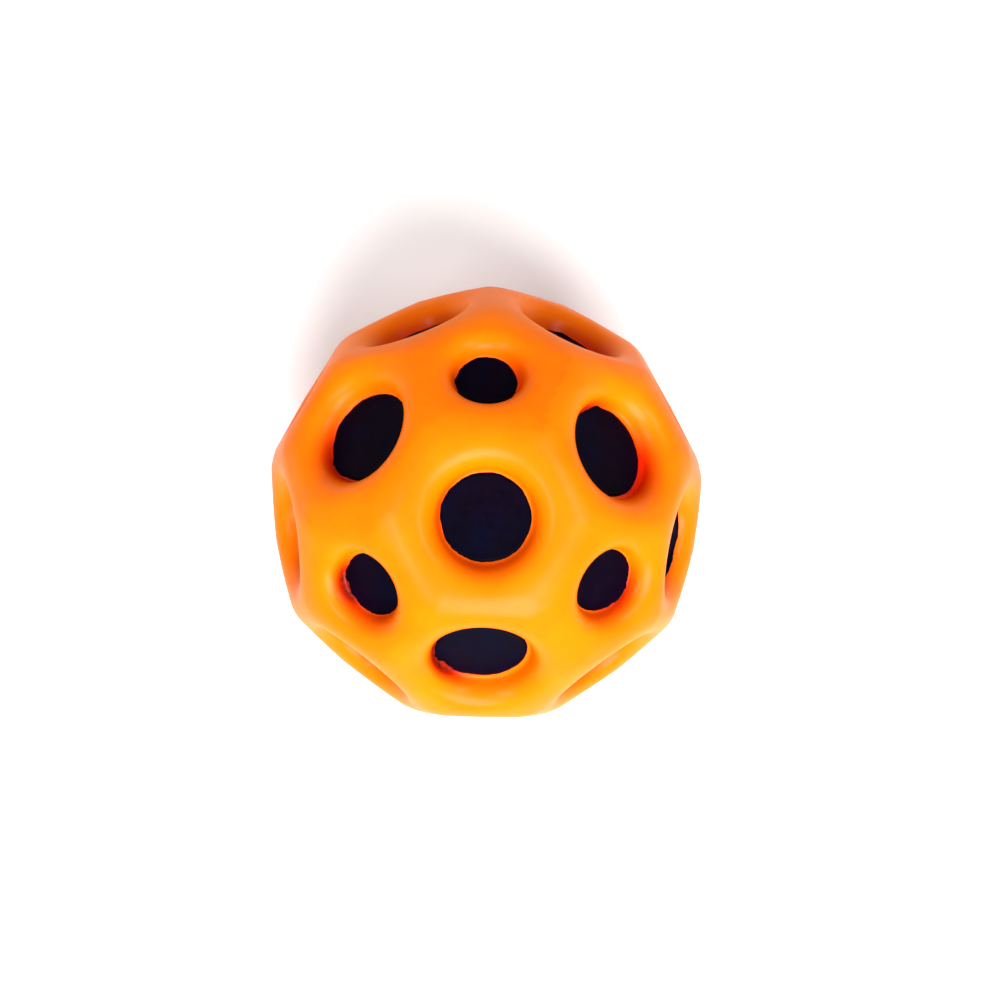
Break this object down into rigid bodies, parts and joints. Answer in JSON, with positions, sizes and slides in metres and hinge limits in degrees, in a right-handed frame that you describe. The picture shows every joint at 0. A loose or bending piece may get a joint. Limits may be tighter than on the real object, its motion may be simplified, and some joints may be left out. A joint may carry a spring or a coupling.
{
  "type": "bouncy ball",
  "caption": "High-bounce self-skinning foam ball covered with large and small round craters, orange with dark crater floors.",
  "frame": {"origin": "centre of the ball", "axes": "+Z through the centre of a large crater, which faces up when the ball stands on the rim of the opposite one; +Y leans towards a small crater beside it"},
  "size_m": [0.07, 0.0698, 0.0658],
  "materials": {
    "foam": "matt open-cell foam",
    "skin": "smooth satin moulded skin",
    "dark_coat": "satin flexible coat"
  },
  "bodies": {
    "root": {"foam_core": "foam", "outer_skin": "skin", "large_crater_coat_01": "dark_coat", "large_crater_coat_02": "dark_coat", "large_crater_coat_03": "dark_coat", "large_crater_coat_04": "dark_coat", "large_crater_coat_05": "dark_coat", "large_crater_coat_06": "dark_coat", "large_crater_coat_07": "dark_coat", "large_crater_coat_08": "dark_coat", "large_crater_coat_09": "dark_coat", "large_crater_coat_10": "dark_coat", "large_crater_coat_11": "dark_coat", "large_crater_coat_12": "dark_coat", "large_crater_coat_13": "dark_coat", "large_crater_coat_14": "dark_coat", "large_crater_coat_15": "dark_coat", "large_crater_coat_16": "dark_coat", "large_crater_coat_17": "dark_coat", "large_crater_coat_18": "dark_coat", "large_crater_coat_19": "dark_coat", "large_crater_coat_20": "dark_coat", "small_crater_coat_01": "dark_coat", "small_crater_coat_02": "dark_coat", "small_crater_coat_03": "dark_coat", "small_crater_coat_04": "dark_coat", "small_crater_coat_05": "dark_coat", "small_crater_coat_06": "dark_coat", "small_crater_coat_07": "dark_coat", "small_crater_coat_08": "dark_coat", "small_crater_coat_09": "dark_coat", "small_crater_coat_10": "dark_coat", "small_crater_coat_11": "dark_coat", "small_crater_coat_12": "dark_coat"}
  },
  "joints": []
}
